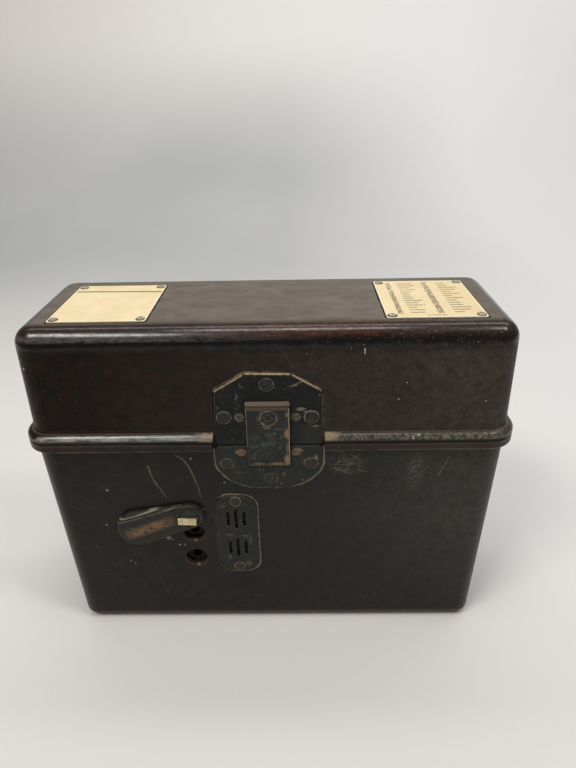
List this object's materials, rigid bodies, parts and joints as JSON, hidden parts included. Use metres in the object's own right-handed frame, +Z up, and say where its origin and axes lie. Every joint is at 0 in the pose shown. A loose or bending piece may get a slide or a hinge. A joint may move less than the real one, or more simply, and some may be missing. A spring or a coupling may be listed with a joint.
{
  "type": "field telephone",
  "caption": "Portable field telephone in a moulded flat case with a hinged lid, front latch, socket flap, grille and a hand-cranked generator inside.",
  "frame": {"origin": "middle of the underside, on the surface it stands on", "axes": "+X to the right along the case's length, +Y to the hinge side, the latch faces -Y, +Z up"},
  "size_m": [0.2832, 0.1052, 0.2204],
  "materials": {
    "moulded_case": "moulded phenolic, dark brown, worn gloss",
    "moulded_inner": "moulded phenolic, black brown",
    "rubber": "matt",
    "dark_green_metal": "dark green-black enamel, worn at the edges",
    "latch_metal": "dark enamel, worn brown",
    "flap_metal": "dark enamel worn to brown along the middle",
    "dark_screws": "painted over, rusty",
    "steel": "dull",
    "bare_brass": "dull",
    "zinc_sheet": "dull zinc plated sheet",
    "aluminium": "spun",
    "chrome_bell": "plated",
    "magnet_steel": "dark lacquer",
    "winding": "lacquered wire under tape",
    "paper_wrap": "plain wrapper",
    "gauze": "woven",
    "cream_label": "cream enamel, aged",
    "red_button": "moulded"
  },
  "bodies": {
    "case": {"case_base": "moulded_case", "base_hinge_leaves": "dark_green_metal", "base_hinge_screws": "dark_screws", "hinge_pins": "steel", "latch_lower_plate": "dark_green_metal", "base_latch_screws": "dark_screws", "base_latch_rivets": "dark_screws", "grille_plate": "dark_green_metal", "grille_screws": "dark_screws", "grille_gauze": "gauze", "flap_pivot_screw": "dark_screws", "flap_lock_tab": "bare_brass", "socket_block": "moulded_inner", "socket_sleeves": "bare_brass", "inner_panel": "moulded_inner", "panel_screws": "steel", "terminal_posts": "bare_brass", "battery_box": "zinc_sheet", "battery_cell": "paper_wrap", "bell_frame": "zinc_sheet", "bell_gongs": "chrome_bell", "bell_coils": "winding", "induction_coil": "winding", "capacitor": "zinc_sheet", "generator_frame": "bare_brass", "generator_bushes": "bare_brass", "horseshoe_magnets": "magnet_steel", "pole_shoes": "magnet_steel", "crank_port_bush": "bare_brass"},
    "lid": {"lid_shell": "moulded_case", "lid_gasket": "rubber", "lid_hinge_leaves": "dark_green_metal", "lid_hinge_screws": "dark_screws", "latch_upper_plate": "dark_green_metal", "latch_pin": "steel", "lid_latch_screws": "dark_screws", "lid_latch_rivets": "dark_screws", "left_label_plate": "cream_label", "right_label_plate": "cream_label", "label_screws": "steel", "inner_diagram_plate": "cream_label"},
    "latch": {"latch_tongue": "latch_metal"},
    "flap": {"socket_flap": "flap_metal"},
    "drive": {"drive_gear": "bare_brass", "drive_shaft": "steel"},
    "armature": {"armature_core": "magnet_steel", "armature_winding": "winding", "armature_pinion": "steel"},
    "bell_clapper": {"clapper": "steel"},
    "handset": {"handset_body": "moulded_inner", "earpiece_cap": "moulded_inner", "mouthpiece_cap": "moulded_inner", "handset_capsules": "aluminium", "handset_gland": "rubber"},
    "talk_bar": {"talk_bar": "moulded_inner"},
    "crank": {"crank_arm": "steel"},
    "crank_knob": {"crank_knob": "moulded_inner"},
    "test_button": {"test_button": "red_button"},
    "front_terminal": {"front_terminal_knob": "moulded_inner"},
    "rear_terminal": {"rear_terminal_knob": "moulded_inner"}
  },
  "joints": [
    {"name": "lid_hinge", "type": "hinge", "parent": "case", "child": "lid", "pos_m": [0, 0.0492, 0.1515], "axis": [-1, 0, 0], "range_deg": [0, 110]},
    {"name": "latch_tongue_hinge", "type": "hinge", "parent": "lid", "child": "latch", "pos_m": [0, -0.04777, 0.17509], "axis": [-1, 0, 0], "range_deg": [0, 35]},
    {"name": "socket_flap_pivot", "type": "hinge", "parent": "case", "child": "flap", "pos_m": [-0.0505, -0.04721, 0.09602], "axis": [0, -0.9997, -0.0232], "range_deg": [-92, 74]},
    {"name": "crank_shaft_spin", "type": "hinge", "parent": "case", "child": "drive", "pos_m": [0.115, -0.004, 0.071], "axis": [1, 0, 0], "continuous": true},
    {"name": "armature_spin", "type": "hinge", "parent": "case", "child": "armature", "pos_m": [0.115, -0.004, 0.035], "axis": [1, 0, 0], "continuous": true},
    {"name": "clapper_swing", "type": "hinge", "parent": "case", "child": "bell_clapper", "pos_m": [0.006, -0.004, 0.063], "axis": [0, -1, 0], "range_deg": [-2.5, 2.5]},
    {"name": "handset_lift", "type": "slide", "parent": "case", "child": "handset", "axis": [0, 0, 1], "range_m": [0, 0.016]},
    {"name": "talk_bar_press", "type": "slide", "parent": "handset", "child": "talk_bar", "axis": [0, 0, 1], "range_m": [0, 0.002], "stiffness_N_per_m": 300, "springref_m": -0.002},
    {"name": "crank_lift", "type": "slide", "parent": "case", "child": "crank", "axis": [0, 0, 1], "range_m": [0, 0.016]},
    {"name": "crank_knob_spin", "type": "hinge", "parent": "crank", "child": "crank_knob", "pos_m": [-0.036, -0.0335, 0.144], "axis": [0, 0, 1], "continuous": true},
    {"name": "test_button_press", "type": "slide", "parent": "case", "child": "test_button", "axis": [0, 0, -1], "range_m": [0, 0.002], "stiffness_N_per_m": 300, "springref_m": -0.002},
    {"name": "front_terminal_press", "type": "slide", "parent": "case", "child": "front_terminal", "axis": [0, 0, -1], "range_m": [0, 0.0025], "stiffness_N_per_m": 300, "springref_m": -0.002},
    {"name": "rear_terminal_press", "type": "slide", "parent": "case", "child": "rear_terminal", "axis": [0, 0, -1], "range_m": [0, 0.0025], "stiffness_N_per_m": 300, "springref_m": -0.002}
  ],
  "couplings": [
    {"joint": "armature_spin", "follows": "crank_shaft_spin", "ratio": -5}
  ]
}
